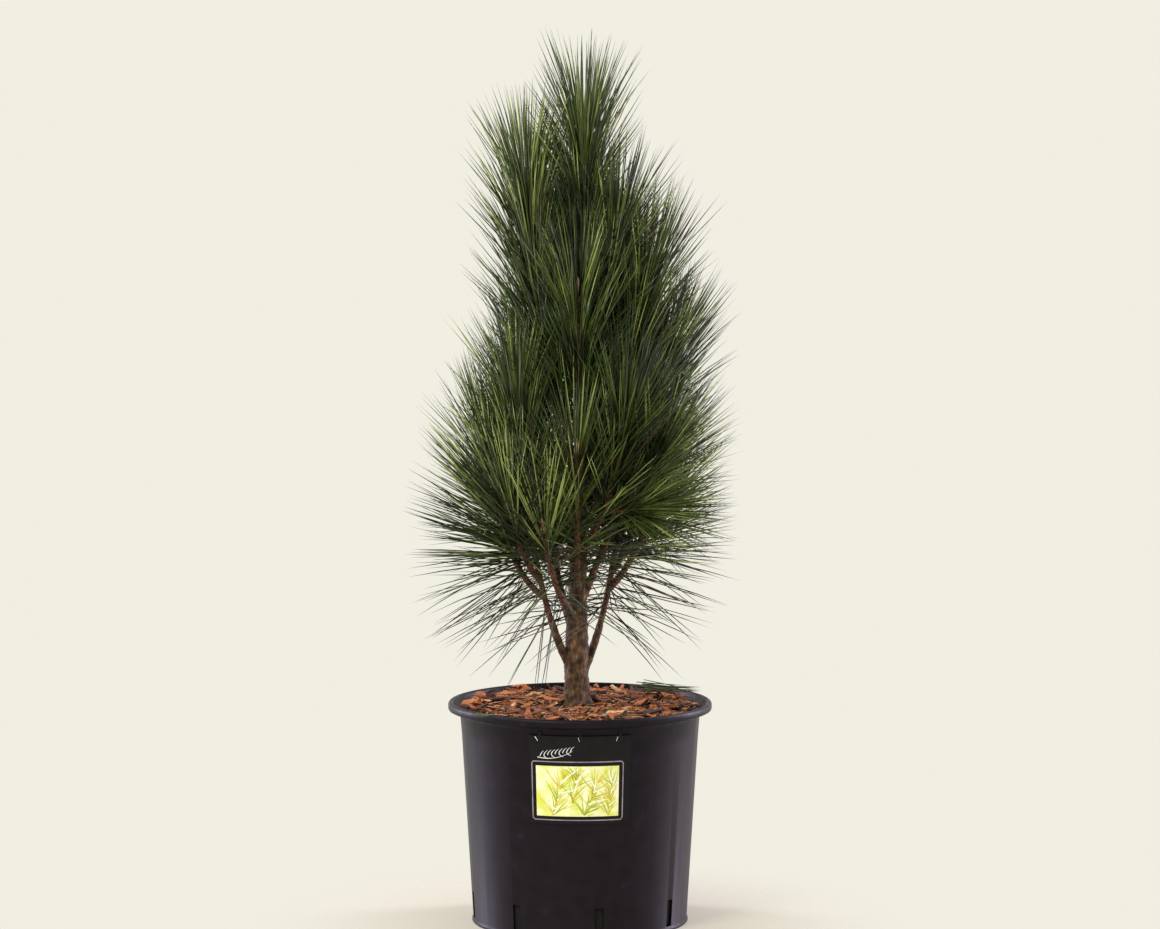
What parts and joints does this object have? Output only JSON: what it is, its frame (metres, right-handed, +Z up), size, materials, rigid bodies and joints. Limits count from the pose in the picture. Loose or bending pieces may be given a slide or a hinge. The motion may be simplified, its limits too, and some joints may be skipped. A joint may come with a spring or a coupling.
{
  "type": "potted columnar pine",
  "caption": "Young narrow upright pine with long dark green needles on rising boughs, in a round black nursery pot filled with bark mulch, with a card label on its front",
  "frame": {"origin": "centre of the pot's flat underside, on the floor", "axes": "+Z up; -Y towards the side with the label, +X to the right seen from that side"},
  "size_m": [0.3514, 0.3636, 0.9441],
  "materials": {
    "needles": "waxy needles, light foliage",
    "bark": "rough scaly bark",
    "bark_mulch": "loose bark chips",
    "pot_plastic": "satin moulded polyethylene",
    "label_card": "satin printed card"
  },
  "bodies": {
    "root": {"back_left_bough": "bark", "back_left_needles": "needles", "back_low_bough": "bark", "back_low_needles": "needles", "back_right_bough": "bark", "back_right_needles": "needles", "front_bough": "bark", "front_left_bough": "bark", "front_left_needles": "needles", "front_needles": "needles", "front_right_bough": "bark", "front_right_needles": "needles", "growing_medium": "bark_mulch", "label": "label_card", "leader_low_needles": "needles", "leader_top_needles": "needles", "left_bough": "bark", "left_needles": "needles", "pot": "pot_plastic", "rear_right_bough": "bark", "rear_right_needles": "needles", "right_bough": "bark", "right_needles": "needles", "right_shoulder_needles": "needles", "trunk": "bark", "upper_back_needles": "needles", "upper_front_needles": "needles", "upper_left_needles": "needles", "upper_right_needles": "needles"}
  },
  "joints": []
}
